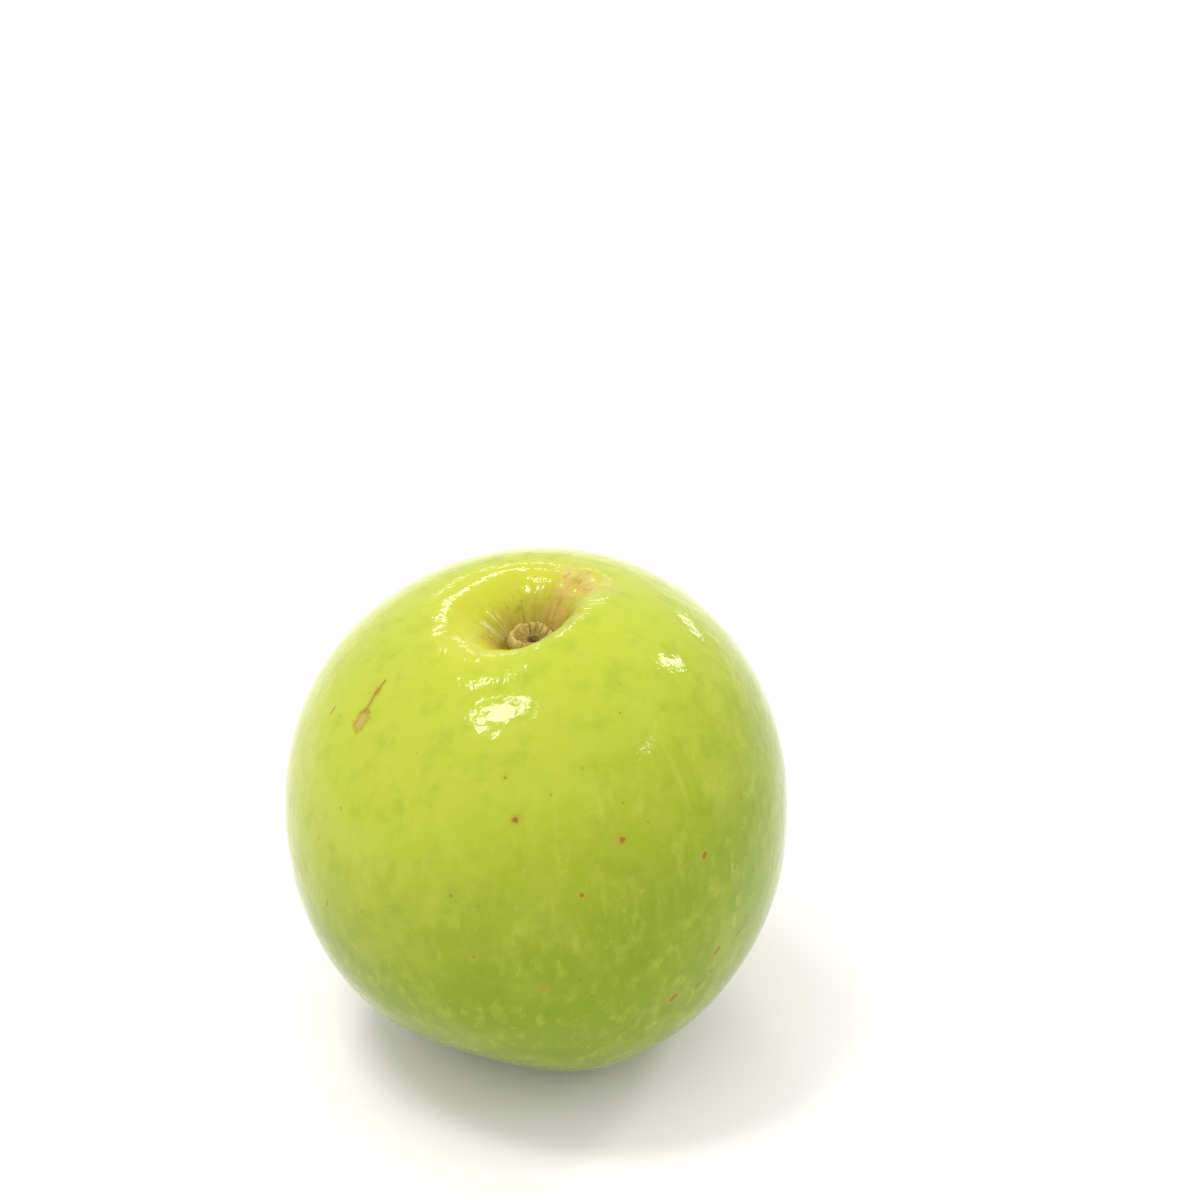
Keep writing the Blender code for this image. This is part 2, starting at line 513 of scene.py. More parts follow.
MARKS = (
    Mark((515, 820), 0.38, 0.95, halo=0.85),
    Mark((622, 840), 0.4, 0.9, halo=0.8),
    Mark((705, 854), 0.33, 0.9, halo=0.6, end=(704, 857)),
    Mark((582, 895), 0.33, 0.85, halo=0.7),
    Mark((505, 778), 0.22, 0.65, halo=0.5),
    Mark((623, 803), 0.17, 0.55, halo=0.3),
    Mark((551, 795), 0.15, 0.45, halo=0.3),
    Mark((582, 768), 0.14, 0.45, halo=0.2),
    Mark((451, 896), 0.2, 0.6, halo=0.4),
    Mark((474, 957), 0.24, 0.75, halo=0.5),
    Mark((735, 866), 0.16, 0.75, end=(734, 869)),
    Mark((753, 867), 0.14, 0.7, end=(753, 872)),
    Mark((741, 798), 0.16, 0.8),
    Mark((647, 911), 0.16, 0.6, halo=0.3),
    Mark((648, 822), 0.15, 0.75, MarkTone.GREEN),
    Mark((478, 906), 0.14, 0.6, MarkTone.GREEN),
    Mark((609, 949), 0.16, 0.6),
    Mark((635, 984), 0.17, 0.65, halo=0.3),
    Mark((628, 935), 0.13, 0.6, MarkTone.GREEN),
    Mark((580, 980), 0.16, 0.7, MarkTone.GREEN),
    Mark((592, 996), 0.17, 0.75, MarkTone.GREEN),
    Mark((681, 972), 0.16, 0.85),
    Mark((713, 969), 0.15, 0.85, end=(710, 972)),
    Mark((700, 983), 0.16, 0.85, end=(695, 987)),
    Mark((703, 1004), 0.15, 0.8, MarkTone.GREEN, end=(699, 1008)),
    Mark((734, 941), 0.14, 0.8, end=(730, 945)),
    Mark((623, 1051), 0.16, 0.7, MarkTone.GREEN),
    Mark((548, 1016), 0.16, 0.6, MarkTone.GREEN),
    Mark((518, 1004), 0.16, 0.6, MarkTone.GREEN),
    Mark((544, 990), 0.42, 0.7, MarkTone.PINK, halo=0.3),
    Mark((675, 996), 0.5, 0.8, halo=0.5, end=(672, 999)),
    Mark((718, 949), 0.46, 0.8, halo=0.5, end=(716, 952)),
    Mark((748, 915), 0.16, 1.0, end=(744, 925)),
    Mark((744, 925), 0.13, 0.95, end=(737, 935)),
    Mark((319, 838), 0.18, 0.6, MarkTone.GREEN),
    Mark((341, 808), 0.16, 0.7, MarkTone.GREEN),
    Mark((327, 900), 0.17, 0.7, end=(327, 905)),
    Mark((362, 912), 0.14, 0.7, MarkTone.GREEN),
    Mark((390, 906), 0.14, 0.6, MarkTone.GREEN),
    Mark((379, 880), 0.14, 0.6, MarkTone.GREEN),
    Mark((356, 950), 0.14, 0.6, MarkTone.GREEN),
    Mark((335, 707), 0.13, 0.8, end=(330, 715)),
    Mark((339, 716), 0.14, 0.6),
    Mark((359, 724), 1.1, 0.9, MarkTone.RUST, end=(364, 716)),
    Mark((357, 730), 0.6, 0.5, MarkTone.RUST),
    Mark((359, 725), 0.72, 0.85, MarkTone.SCAB, end=(363, 718)),
    Mark((367, 709), 0.22, 0.7, MarkTone.RUST, halo=0.6, end=(376, 693)),
    Mark((376, 693), 0.34, 0.8, MarkTone.RUST, halo=0.6, end=(379, 689)),
    Mark((379, 689), 0.2, 0.9, MarkTone.RUST, halo=0.4, end=(385, 681)),
)


@dataclass(frozen=True)
class SkinMap:
    """The sockets that say where a point of the skin is, in millimetres."""

    place: Socket
    across: Socket
    height: Socket
    ray: Socket
    reach: Socket
    upper: Socket


class SkinTone(Enum):
    """The tones of the skin."""

    GREEN = seen(153, 178, 0)
    YELLOW = seen(209, 223, 62)
    # DEEP is the dull green of the patches, and towards the bottom it also stands for painted
    # shade.
    DEEP = seen(141, 164, 0)
    PALE = seen(214, 226, 82)
    CAVITY = seen(228, 222, 56)
    # CAVITY_FOOT is the brown round the cup: partly brown tissue, partly painted shade low in the
    # cavity.
    CAVITY_FOOT = seen(186, 156, 50)
    CRACK = seen(140, 116, 20)
    RUSSET = seen(228, 190, 98)
    BLOSSOM_RING = seen(150, 124, 56)
    BLOSSOM_HEART = seen(84, 64, 30)


@dataclass
class Coat:
    """The skin's colour as it builds up, with the net and the map that it is laid by."""

    net: Net
    where: SkinMap
    ground: Union[Socket, Colour] = SkinTone.GREEN.value

    def tint(self, share: Socket, tone: Enum) -> None:
        """Lays a tone on the colour so far."""
        self.ground = self.net.mix(share, self.ground, tone.value)


@dataclass(frozen=True)
class RipenessAndPaintedLight:
    """The broad tones: yellower and lighter on the upper left, greener on the right, darker green
    below. They are partly the fruit's own tones and partly painted light: lighter on the upper left
    where the lamps fall, painted shade towards the bottom.
    """

    cloud: Cloud = Cloud(0.07, 3.0, 0.5)
    cloud_share: float = 0.25
    yellow_per_rise: float = 0.036
    yellow_per_across: float = -0.014
    yellow: Ramp = Ramp(-0.1, 1.15)
    low_wander: float = 10.0
    low: Ramp = Ramp(4, -26, 0.8)

    def lay(self, coat: Coat) -> None:
        """Lays the tones.

        Args:
            coat: The skin's colour so far.
        """
        net, where = coat.net, coat.where
        cloud = net.noise(where.place, self.cloud)
        # Yellower and lighter upwards and to the left: partly ripeness, partly painted light from
        # the lamps above and to the left.
        lean = net.times(where.height, self.yellow_per_rise)
        lean = net.math("MULTIPLY_ADD", where.across, self.yellow_per_across, lean)
        lean = net.math("MULTIPLY_ADD", cloud, self.cloud_share, lean)
        coat.tint(net.ramp(lean, self.yellow), SkinTone.YELLOW)
        # Darker green towards the bottom: partly the fruit's own tone, partly painted shade.
        low = net.math("MULTIPLY_ADD", cloud, self.low_wander, where.height)
        coat.tint(net.ramp(low, self.low), SkinTone.DEEP)


@dataclass(frozen=True)
class Mottle:
    """The soft pale and dull patches, the pale veins and the tiny dots."""

    drawn_out: tuple[float, float, float] = (1, 1, 0.55)
    patch: Speckle = Speckle(0.17, 3.0, 0.55, Ramp(0.45, 0.7, 0.26))
    fleck: Speckle = Speckle(0.65, 3.0, 0.6, Ramp(0.47, 0.74, 0.27))
    hills: Cloud = Cloud(0.3, 3.0, 0.6)
    vein: Ramp = Ramp(0.022, 0)
    vein_places: Ramp = Ramp(0, 0.1)
    vein_strength: float = 0.24
    dull: Speckle = Speckle(0.32, 3.0, 0.55, Ramp(0.46, 0.76, 0.26))
    dot_scale: float = 0.24
    dot: Ramp = Ramp(0.042, 0.02, 0.6)
    dot_places: Speckle = Speckle(0.12, 1.0, 0.5, Ramp(0.45, 0.55))

    def lay(self, coat: Coat) -> None:
        """Lays the pattern.

        Args:
            coat: The skin's colour so far.
        """
        net, place = coat.net, coat.where.place
        drawn = net.vector("MULTIPLY", place, self.drawn_out).outputs[0]
        coat.tint(net.patches(place, self.patch), SkinTone.PALE)
        fleck = net.patches(drawn, self.fleck)
        coat.tint(fleck, SkinTone.PALE)
        hills = net.math("SUBTRACT", net.noise(drawn, self.hills), NOISE_MIDDLE)
        vein = net.ramp(net.math("ABSOLUTE", hills), self.vein)
        vein = net.times(vein, net.ramp(fleck, self.vein_places), self.vein_strength)
        coat.tint(vein, SkinTone.PALE)
        coat.tint(net.patches(place, self.dull), SkinTone.DEEP)
        dot = net.ramp(net.cells(place, self.dot_scale), self.dot)
        coat.tint(net.times(dot, net.patches(place, self.dot_places)), MarkTone.GREEN)


@dataclass(frozen=True)
class Brush:
    """The fine pale streaks that run from the shoulder down the sides."""

    broad: Streaks = Streaks(9.0, 0.06, Ramp(0.5, 0.72, 0.2))
    fine: Streaks = Streaks(27.0, 0.16, Ramp(0.5, 0.68, 0.3))
    fine_places: Speckle = Speckle(0.1, 2.0, 0.5, Ramp(0.42, 0.6))
    by_height: Ramp = Ramp(-8, 16)
    by_reach: Ramp = Ramp(6, 14)

    def lay(self, coat: Coat) -> None:
        """Lays the streaks.

        Args:
            coat: The skin's colour so far.
        """
        net, where = coat.net, coat.where
        broad = net.streaks(where.ray, where.height, self.broad)
        fine = net.streaks(where.ray, where.height, self.fine)
        fine = net.times(fine, net.patches(where.place, self.fine_places))
        height = net.ramp(where.height, self.by_height)
        reach = net.ramp(where.reach, self.by_reach)
        coat.tint(net.times(net.math("MAXIMUM", broad, fine), height, reach), SkinTone.PALE)


@dataclass(frozen=True)
class CavityWall:
    """The yellow wall of the stem cavity, with brown cracks and a browner foot round the cup, which
    is partly brown tissue and partly painted shade low in the cavity.
    """

    side: float = 232.0
    wall: Ramp = Ramp(14, 6)
    wall_side: Ramp = Ramp(-0.6, 0.2)
    wall_strength: float = 0.75
    glow_count: float = 5.0
    glow_stretch: float = 0.1
    glow: Ramp = Ramp(0.45, 0.75, 0.3)
    crack_bend: float = 0.05
    crack_count: float = 12.0
    crack_stretch: float = 0.5
    crack: Ramp = Ramp(0.58, 0.74)
    crack_reach: Ramp = Ramp(9, 4.5)
    crack_side: Ramp = Ramp(-0.5, 0.4)
    crack_strength: float = 0.48
    blot: Speckle = Speckle(0.9, 3.0, 0.6, Ramp(0.56, 0.7, 0.42))
    blot_reach: Ramp = Ramp(8, 4.5)
    foot_wander: float = -3.0
    foot: Ramp = Ramp(5.6, 1.2)
    foot_strength: float = 0.9

    def lay(self, coat: Coat) -> tuple[Socket, Socket]:
        """Lays the wall, the cracks and the foot.

        Args:
            coat: The skin's colour so far.

        Returns:
            The cracks' mask and the foot's mask.
        """
        net, where = coat.net, coat.where
        facing = net.facing(where.ray, self.side)
        wall = net.ramp(where.reach, self.wall)
        wall = net.times(wall, where.upper, net.ramp(facing, self.wall_side))
        coat.tint(net.times(wall, self.wall_strength), SkinTone.CAVITY)
        glow = net.rays(where.ray, where.reach, self.glow_count, self.glow_stretch)
        coat.tint(net.ramp(net.times(glow, wall), self.glow), SkinTone.PALE)
        bend = net.vector("SCALE", where.place, scale=self.crack_bend).outputs[0]
        bent = net.vector("ADD", where.ray, net.vector("SINE", bend).outputs[0]).outputs[0]
        fine = net.rays(bent, where.reach, self.crack_count, self.crack_stretch)
        cracked = net.times(net.ramp(facing, self.crack_side), where.upper)
        near = net.ramp(where.reach, self.crack_reach)
        line = net.times(net.ramp(fine, self.crack), near, cracked)
        coat.tint(net.times(line, self.crack_strength), SkinTone.CRACK)
        near = net.ramp(where.reach, self.blot_reach)
        coat.tint(net.times(net.patches(where.place, self.blot), near, cracked), SkinTone.CRACK)
        # The browner foot round the cup: partly brown tissue, partly painted shade at the bottom of
        # the cavity.
        ragged = net.math("MULTIPLY_ADD", fine, self.foot_wander, where.reach)
        foot = net.times(net.ramp(ragged, self.foot), where.upper)
        coat.tint(net.times(foot, self.foot_strength), SkinTone.CAVITY_FOOT)
        return line, foot


@dataclass(frozen=True)
class Russet:
    """The corky patch on the back right wall of the stem cavity."""

    side: float = 136.0
    edge: Cloud = Cloud(0.9, 4.0, 0.7)
    edge_wander: float = 0.3
    wedge: Ramp = Ramp(0.84, 1.0)
    length: Ramp = Ramp(12.5, 7.5)
    worn: Speckle = Speckle(0.8, 3.0, 0.6, Ramp(0.28, 0.55))
    flecks: Streaks = Streaks(16.0, 0.7, Ramp(0.5, 0.66, 0.55))
    strength: float = 0.85

    def lay(self, coat: Coat) -> Socket:
        """Lays the patch.

        Args:
            coat: The skin's colour so far.

        Returns:
            The patch's mask.
        """
        net, where = coat.net, coat.where
        edge = net.wander(net.noise(where.place, self.edge), self.edge_wander)
        wedge = net.ramp(net.math("ADD", net.facing(where.ray, self.side), edge), self.wedge)
        worn = net.patches(where.place, self.worn)
        patch = net.times(wedge, net.ramp(where.reach, self.length), where.upper, worn)
        flecks = net.streaks(where.ray, where.reach, self.flecks)
        tone = net.mix(flecks, SkinTone.RUSSET.value, MarkTone.BROWN.value)
        coat.ground = net.mix(net.times(patch, self.strength), coat.ground, tone)
        return patch


@dataclass(frozen=True)
class BlossomEnd:
    """The scar of the style under the fruit, with pale rays round it."""

    middle: tuple[float, float, float] = (0.4, 1.0, 0)
    under: Ramp = Ramp(-22, -26)
    ray_count: float = 7.0
    ray_stretch: float = 0.1
    ray: Ramp = Ramp(0.48, 0.68, 0.4)
    ray_reach: Ramp = Ramp(14, 3)
    wander: float = 0.9
    rings: tuple[tuple[SkinTone, Ramp], ...] = (
        (SkinTone.BLOSSOM_RING, Ramp(2.3, 1.5, 0.8)),
        (SkinTone.RUSSET, Ramp(1.25, 1.0, 0.7)),
        (SkinTone.BLOSSOM_HEART, Ramp(0.85, 0.6, 0.9)),
    )

    def lay(self, coat: Coat) -> None:
        """Lays the rays and the scar's rings.

        Args:
            coat: The skin's colour so far.
        """
        net, where = coat.net, coat.where
        ray, reach = net.polar(net.vector("SUBTRACT", where.place, self.middle).outputs[0])
        under = net.ramp(where.height, self.under)
        rays = net.rays(ray, reach, self.ray_count, self.ray_stretch)
        near = net.ramp(reach, self.ray_reach)
        coat.tint(net.times(net.ramp(rays, self.ray), near, under), SkinTone.PALE)
        ragged = net.math("MULTIPLY_ADD", rays, self.wander, reach)
        for tone, ring in self.rings:
            coat.tint(net.times(net.ramp(ragged, ring), under), tone)


@dataclass(frozen=True)
class Bumps:
    """The fine unevenness of a grown surface, on two scales. The height is in millimetres."""

    fine: float
    broad: float
    fine_share: float
    carved: float
    height: float
    strength: float

    def lay(self, net: Net, shader: bpy.types.Node, place: Socket, carving: Socket) -> None:
        """Feeds the shader's normal.

        Args:
            net: The material's net.
            shader: The material's shader.
            place: The place on the surface.
            carving: A mask that is carved in, or raised where carved is above 0.
        """
        grain = net.group(
            grain_group(), Place=place, Fine=self.fine, Broad=self.broad, Fine_Share=self.fine_share
        )
        bump = net.add("Bump")
        relief = net.math("MULTIPLY_ADD", carving, self.carved, grain.outputs["Height"])
        net.feed(bump.inputs["Height"], relief)
        net.feed(bump.inputs["Distance"], self.height * MM)
        net.feed(bump.inputs["Strength"], self.strength)
        net.feed(shader.inputs["Normal"], bump.outputs["Normal"])


@dataclass(frozen=True)
class Gloss:
    """The skin's wax: how sharply and how evenly it shines. Depths are in millimetres."""

    roughness: float = 0.05
    haze: Cloud = Cloud(0.8, 3.0, 0.5)
    haze_share: float = 0.1
    dry_haze: float = 0.25
    ior: float = 1.36
    specular_level: float = 0.42
    flesh_share: float = 0.12
    flesh_radius: tuple[float, float, float] = (0.9, 0.8, 0.25)
    flesh_depth: float = 1.6
    bumps: Bumps = Bumps(0.95, 0.45, 0.45, -0.3, 0.12, 1.0)

    def lay(self, coat: Coat, shader: bpy.types.Node, line: Socket, dry: Socket) -> None:
        """Sets the shader's gloss, its glow through the flesh and its relief.

        Args:
            coat: The skin's finished colour.
            shader: The material's shader.
            line: The cracks' mask.
            dry: The mask of the dry tissue, which shines less.
        """
        net, place = coat.net, coat.where.place
        haze = net.noise(place, self.haze)
        rough = net.math("MULTIPLY_ADD", haze, self.haze_share, self.roughness)
        net.feed(shader.inputs["Roughness"], net.math("MULTIPLY_ADD", dry, self.dry_haze, rough))
        shader.inputs["IOR"].default_value = self.ior
        shader.inputs["Specular IOR Level"].default_value = self.specular_level
        shader.inputs["Subsurface Weight"].default_value = self.flesh_share
        shader.inputs["Subsurface Radius"].default_value = self.flesh_radius
        shader.inputs["Subsurface Scale"].default_value = self.flesh_depth * MM
        self.bumps.lay(net, shader, place, line)


@dataclass(frozen=True)
class SkinFinish:
    """The waxy yellow-green skin. Its middle height is in metres."""

    middle_height: float = 0.029
    shoulder: Ramp = Ramp(4, 14)
    uneven: Cloud = Cloud(2.6, 2.0, 0.5)

    def build(self, stem: Vector, spots: list[tuple[Mark, Vector, Vector]]) -> bpy.types.Material:
        """Makes the material.

        Args:
            stem: The middle of the stalk cup, in metres.
            spots: Each mark with its two ends on the skin, in metres.

        Returns:
            The material.
        """
        material = bpy.data.materials.new("jujube_skin")
        material.use_nodes = True
        net = Net(material.node_tree)
        shader = material.node_tree.nodes["Principled BSDF"]
        coat = Coat(net, self.map_skin(net, stem))
        for layer in (RipenessAndPaintedLight(), Mottle(), Brush()):
            layer.lay(coat)
        line, foot = CavityWall().lay(coat)
        russet = Russet().lay(coat)
        BlossomEnd().lay(coat)
        self.add_marks(coat, spots)
        net.feed(shader.inputs["Base Color"], coat.ground)
        Gloss().lay(coat, shader, line, net.math("MAXIMUM", russet, foot))
        return material

    def map_skin(self, net: Net, stem: Vector) -> SkinMap:
        """Places the nodes that say where a point of the skin is.

        Args:
            net: The material's net.
            stem: The middle of the stalk cup, in metres.

        Returns:
            The sockets.
        """
        place = net.place(Vector((0, 0, self.middle_height)))
        parts = net.add("SeparateXYZ")
        net.feed(parts.inputs[0], place)
        across, _, height = parts.outputs
        ray, reach = net.polar(net.place(stem))
        return SkinMap(place, across, height, ray, reach, net.ramp(height, self.shoulder))

    def add_marks(self, coat: Coat, spots: list[tuple[Mark, Vector, Vector]]) -> None:
        """Adds the specks, the scratches and the scab.

        Args:
            coat: The skin's colour so far.
            spots: Each mark with its two ends on the skin, in metres.
        """
        net, place = coat.net, coat.where.place
        speck = speck_group()
        uneven = net.noise(place, self.uneven)
        middle = Vector((0, 0, self.middle_height))
        masks: dict[MarkTone, Value] = {tone: 0.0 for tone in MarkTone}
        for mark, *ends in spots:
            start, end = (tuple((point - middle) / MM) for point in ends)
            made = net.group(
                speck, Place=place, From=start, To=end, Radius=mark.radius, Uneven=uneven
            )
            own = net.times(made.outputs["Mask"], mark.strength)
            masks[mark.tone] = net.math("MAXIMUM", masks[mark.tone], own)
            if mark.halo:
                halo = net.times(made.outputs["Halo"], mark.halo)
                masks[MarkTone.AMBER] = net.math("MAXIMUM", masks[MarkTone.AMBER], halo)
        for tone, mask in masks.items():
            coat.tint(mask, tone)


@dataclass(frozen=True)
class CupFinish:
    """The dry corky tissue of the stalk cup."""

    ridge: Colour = seen(236, 210, 108)
    floor: Colour = seen(172, 142, 36)
    pit: Colour = seen(88, 62, 14)
    roughness: float = 0.75
    fibre_count: float = 7.0
    fibre_stretch: float = 0.3
    fibre_rise: float = 0.5
    rim: Ramp = Ramp(0.75, 1.55)
    gap: Ramp = Ramp(0.5, 0.62, 0.55)
    heart: Ramp = Ramp(0.75, 0.35, 0.8)
    bumps: Bumps = Bumps(5.0, 1.6, 0.5, 1.0, 0.12, 0.8)

    def build(self, middle: Vector) -> bpy.types.Material:
        """Makes the material.

        Args:
            middle: The middle of the cup's underside, in metres.

        Returns:
            The material.
        """
        material = bpy.data.materials.new("dry_stalk_cup")
        material.use_nodes = True
        net = Net(material.node_tree)
        shader = material.node_tree.nodes["Principled BSDF"]
        place = net.place(middle)
        parts = net.add("SeparateXYZ")
        net.feed(parts.inputs[0], place)
        ray, reach = net.polar(place)
        fibres = net.rays(ray, reach, self.fibre_count, self.fibre_stretch)
        high = net.math("MULTIPLY_ADD", fibres, self.fibre_rise, parts.outputs[2])
        tone = net.mix(net.ramp(high, self.rim), self.floor, self.ridge)
        tone = net.mix(net.ramp(fibres, self.gap), tone, self.pit)
        tone = net.mix(net.ramp(reach, self.heart), tone, self.pit)
        net.feed(shader.inputs["Base Color"], tone)
        shader.inputs["Roughness"].default_value = self.roughness
        self.bumps.lay(net, shader, place, fibres)
        return material


@dataclass
class FruitSkin:
    """The skin: the CAD fruit made finer, with a grown surface's relief. Sizes in millimetres."""

    weld: float = 0.001
    subdivisions: int = 2
    cavity_depth: float = 5.0
    wrinkle_height: float = 0.11
    wrinkle_reach: Ramp = Ramp(8.5, 3.6)
    wrinkle_count: float = 7.0
    wrinkle_stretch: float = 0.12
    crease_share: float = 0.5
    crease_count: float = 14.0
    crease_stretch: float = 0.2
    crease_start: float = 9.0
    swell_height: float = 0.05
    swell_size: float = 5.5
    ripple_height: float = 0.012
    ripple_size: float = 1.9
    flat: Ramp = Ramp(0, 0.5)
    open_side: float = 305.0
    open_facing: Ramp = Ramp(0.25, 0.95)
    crest_reach: float = 8.4
    crest_fade: Ramp = Ramp(5.0, 0)
    crest_drop: float = 0.3

    def build(self, stem: Vector) -> bpy.types.Object:
        """Models the skin.

        Args:
            stem: The middle of the stalk cup, in metres.

        Returns:
            The skin.
        """
        source = frame["nodes"]["fruit"]
        piece = source.copy()
        piece.data = source.data.copy()
        piece.name = piece.data.name = "jujube_skin"
        piece.parent = None
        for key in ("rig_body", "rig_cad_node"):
            del piece[key]
        bpy.context.scene.collection.objects.link(piece)
        bpy.ops.object.select_all(action="DESELECT")
        piece.select_set(True)
        bpy.context.view_layer.objects.active = piece
        bpy.ops.object.mode_set(mode="EDIT")
        bpy.ops.mesh.select_all(action="SELECT")
        bpy.ops.mesh.remove_doubles(threshold=self.weld * MM)
        bpy.ops.mesh.tris_convert_to_quads(face_threshold=math.pi, shape_threshold=math.pi)
        bpy.ops.object.mode_set(mode="OBJECT")
        finer = piece.modifiers.new("finer", "SUBSURF")
        finer.levels = finer.render_levels = self.subdivisions
        bpy.ops.object.modifier_apply(modifier=finer.name)
        places = [vert.co.copy() for vert in piece.data.vertices]
        normals = [normal.vector.copy() for normal in piece.data.vertex_normals]
        for vert, place, normal in zip(piece.data.vertices, places, normals):
            vert.co = place + normal * self.relief(place / MM, stem / MM) * MM
        bpy.ops.object.shade_smooth()
        return piece

    def relief(self, place: Vector, stem: Vector) -> float:
        """Gives how far a point of the skin stands out.

        Args:
            place: The point, in millimetres.
            stem: The middle of the stalk cup, in millimetres.

        Returns:
            The height in millimetres.
        """
        away = Vector((place.x - stem.x, place.y - stem.y, 0))
        height = self.swell_height * noise.noise(place / self.swell_size)
        height += self.ripple_height * noise.noise(place / self.ripple_size)
        if place.z > stem.z - self.cavity_depth and away.length > 0:
            height += self.open_slope(away) + self.wrinkles(away)
        return height * self.flat.at(place.z)

    def wrinkles(self, away: Vector) -> float:
        """Gives the height of the fine folds round the stalk cup.

        Args:
            away: The level vector from the stem to the point, in millimetres.

        Returns:
            The height in millimetres.
        """
        reach = away.length
        ray = away.normalized() * self.wrinkle_count
        folds = noise.noise(Vector((ray.x, ray.y, reach * self.wrinkle_stretch)))
        ray = away.normalized() * self.crease_count
        run = reach * self.crease_stretch + self.crease_start
        folds += self.crease_share * noise.noise(Vector((ray.x, ray.y, run)))
        return self.wrinkle_height * self.wrinkle_reach.at(reach) * folds

    def open_slope(self, away: Vector) -> float:
        """Gives the drop of the cavity's crest on the left, where the wall is a gentle slope.

        Args:
            away: The level vector from the stem to the point, in millimetres.

        Returns:
            The height in millimetres, 0 or less.
        """
        facing = self.open_facing.at(away.normalized().dot(level_way(self.open_side)))
        return -self.crest_drop * self.crest_fade.at(abs(away.length - self.crest_reach)) * facing

    def dress(self, piece: bpy.types.Object, stem: Vector, view: "Viewpoint") -> None:
        """Gives the skin its finish and its place in the frame.

        Args:
            piece: The skin.
            stem: The middle of the stalk cup, in metres.
            view: The viewpoint that the marks are placed from.
        """
        spots = []
        for mark in MARKS:
            start = view.find_on(piece, mark.start)
            spots.append((mark, start, view.find_on(piece, mark.end) if mark.end else start))
        piece.data.materials.clear()
        piece.data.materials.append(SkinFinish().build(stem, spots))
        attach(piece, BODY)
        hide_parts("fruit")


@dataclass(frozen=True)
class Growth:
    """How far the stalk cup departs from its turned form. Sizes in millimetres."""

    lobes: int = 7
    lobe_turn: float = 0.6
    lobe_drift: float = 0.9
    lobe_depth: float = 0.24
    drift_waves: float = 1.4
    ragged_height: float = 0.26
    ragged_waves: float = 4.0
    torn_waves: float = 11.0
    torn_share: float = 0.7
    rim_reach: Ramp = Ramp(1.2, 1.9)
    rim_height: Ramp = Ramp(0.5, 1.3)
    hollow_height: float = 0.22
    hollow_waves: float = 6.0
    hollow_inner: Ramp = Ramp(0.7, 1.2)
    hollow_outer: Ramp = Ramp(2.1, 1.8)
    grain_height: float = 0.09
    grain_waves: float = 2.2
    grain_start: Ramp = Ramp(0.2, 0.6)
    swell: float = 0.05
    swell_waves: float = 1.5
    flute_waves: float = 7.0
    stub_reach: Ramp = Ramp(0.9, 0.5)
    stub_lean: tuple[float, float] = (0.25, 0.1)

    def move(self, place: Vector) -> Vector:
        """Moves a point of the turned form to where it grew.

        Args:
            place: The point, in millimetres from the middle of the underside.

        Returns:
            The moved point, in millimetres.
        """
        reach = math.hypot(place.x, place.y)
        side = math.atan2(place.x, -place.y)
        round_place = Vector((math.cos(side), math.sin(side), 0))
        moved = place.copy()
        drift = self.lobe_drift * noise.noise(round_place * self.drift_waves)
        lobe = abs(math.sin(self.lobes * side / 2 + self.lobe_turn + drift))
        ragged = noise.noise(round_place * self.ragged_waves)
        ragged += self.torn_share * noise.noise(round_place * self.torn_waves)
        rise = self.lobe_depth * lobe - self.lobe_depth + self.ragged_height * ragged
        moved.z += self.rim_reach.at(reach) * self.rim_height.at(place.z) * rise
        hollow = self.hollow_inner.at(reach) * self.hollow_outer.at(reach)
        moved.z += hollow * self.hollow_height * noise.noise(round_place * self.hollow_waves)
        grain = self.grain_height * noise.noise(place * self.grain_waves)
        moved.z += grain * self.grain_start.at(place.z)
        broad = noise.noise(round_place * self.swell_waves)
        swell = 1 + self.swell * (broad + noise.noise(round_place * self.flute_waves))
        stub = self.stub_reach.at(reach)
        moved.x = moved.x * swell + self.stub_lean[0] * stub
        moved.y = moved.y * swell + self.stub_lean[1] * stub
        return moved


